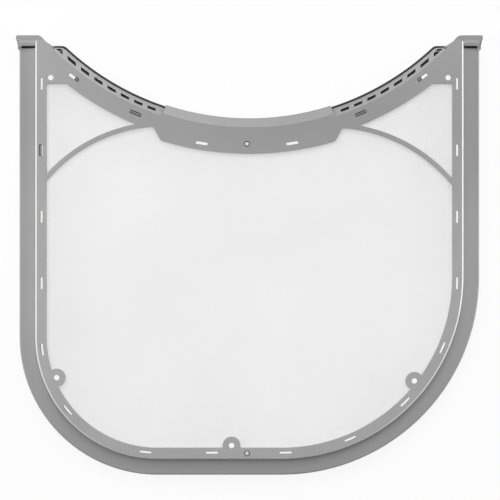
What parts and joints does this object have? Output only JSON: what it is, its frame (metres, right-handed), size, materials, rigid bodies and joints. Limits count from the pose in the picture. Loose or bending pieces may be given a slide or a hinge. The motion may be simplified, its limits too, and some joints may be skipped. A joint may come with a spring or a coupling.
{
  "type": "tumble dryer lint filter",
  "caption": "Flat lint filter for a tumble dryer: a U-shaped plastic frame with guide rails and a curved, slotted top edge holds a fine mesh that catches lint.",
  "frame": {"origin": "middle of the filter's plan, on the plane of its back rims", "axes": "+X across the filter to the right seen from the front, +Y towards the curved top edge, +Z out of the front face"},
  "size_m": [0.3918, 0.3692, 0.016],
  "materials": {
    "frame_plastic": "satin moulded plastic, light grey",
    "mesh": "fine woven nylon mesh, pale and half see-through",
    "screw_steel": "bright zinc plate",
    "seal": "matte dark foam strip"
  },
  "bodies": {
    "root": {"front_frame": "frame_plastic", "rear_frame": "frame_plastic", "mesh_screen": "mesh", "frame_screws": "screw_steel", "grille_seal_left": "seal", "grille_seal_right": "seal"}
  },
  "joints": []
}
